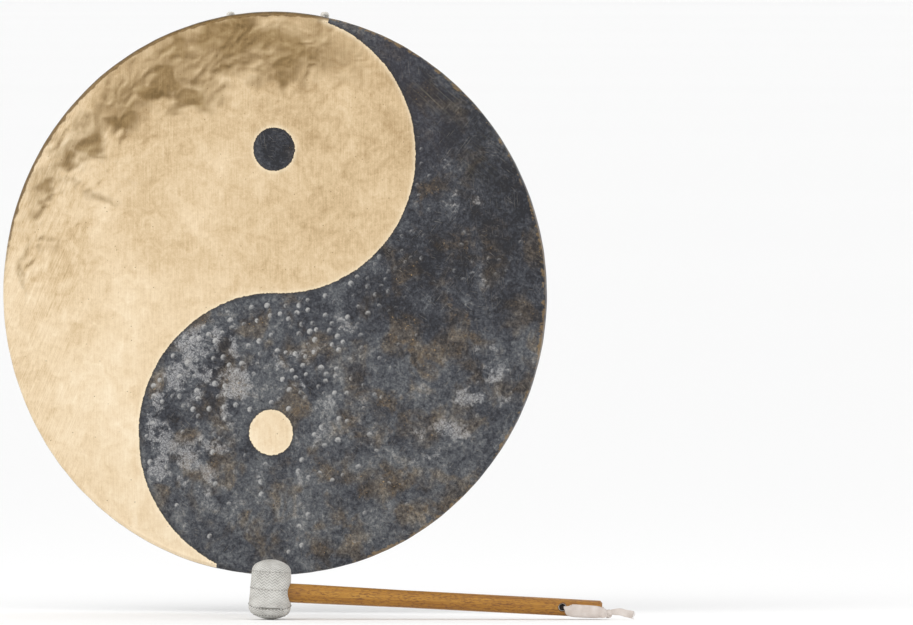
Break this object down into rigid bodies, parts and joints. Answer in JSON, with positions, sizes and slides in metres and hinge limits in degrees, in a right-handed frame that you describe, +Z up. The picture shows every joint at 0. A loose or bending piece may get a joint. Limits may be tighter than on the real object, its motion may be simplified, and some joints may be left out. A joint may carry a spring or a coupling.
{
  "type": "tam tam gong",
  "caption": "Round hammered bronze gong with a two-tone scraped face and turned-back rim, its hanging cord, and a padded cloth-covered beater with a wooden shaft and strap.",
  "frame": {"origin": "midway between the two hanging holes in the rim, in the middle of the plate's thickness, where the cord carries the gong", "axes": "+Z up, the gong's face looks along -Y, +X to the right of someone facing the gong; the beater stands on a floor at z = -0.6438"},
  "size_m": [0.74, 0.2648, 0.6506],
  "materials": {
    "bronze": "hammered bronze: scraped bright on one side of the face, dark oxide skin elsewhere",
    "cord": "undyed twisted cord",
    "shaft_wood": "oiled turned hardwood",
    "core_wood": "plain turned wood",
    "felt": "pressed wool felt",
    "cover_cloth": "unbleached plain-woven cotton",
    "thread": "waxed thread",
    "tape": "flat cotton tape"
  },
  "bodies": {
    "gong": {"gong_disc": "bronze", "cord_knots": "cord"},
    "cord_loop": {"hanging_cord": "cord"},
    "mallet": {"mallet_shaft": "shaft_wood", "mallet_core": "core_wood", "core_dowel": "core_wood", "felt_wrap": "felt", "felt_pad_upper": "felt", "felt_pad_lower": "felt", "cover_sleeve_upper": "cover_cloth", "cover_sleeve_lower": "cover_cloth", "cover_cap_upper": "cover_cloth", "cover_cap_lower": "cover_cloth", "stitches_upper": "thread", "stitches_middle": "thread", "stitches_lower": "thread", "stitches_base": "thread", "wrist_strap": "tape"},
    "strap_end": {"strap_tail": "tape"}
  },
  "joints": [
    {"name": "cord_swing", "type": "hinge", "parent": "gong", "child": "cord_loop", "pos_m": [0, 0.0185, 0.00389], "axis": [1, 0, 0], "range_deg": [0, 178]},
    {"name": "mallet_stroke", "type": "hinge", "parent": "gong", "child": "mallet", "pos_m": [0.057, 0.00142, -0.56442], "axis": [-1, 0, 0], "range_deg": [0, 90]},
    {"name": "strap_tail_swing", "type": "hinge", "parent": "mallet", "child": "strap_end", "pos_m": [0.41688, -0.12087, -0.63408], "axis": [-0.2656, 0.9641, 0], "range_deg": [-60, 75], "stiffness_Nm_per_rad": 0.002}
  ]
}
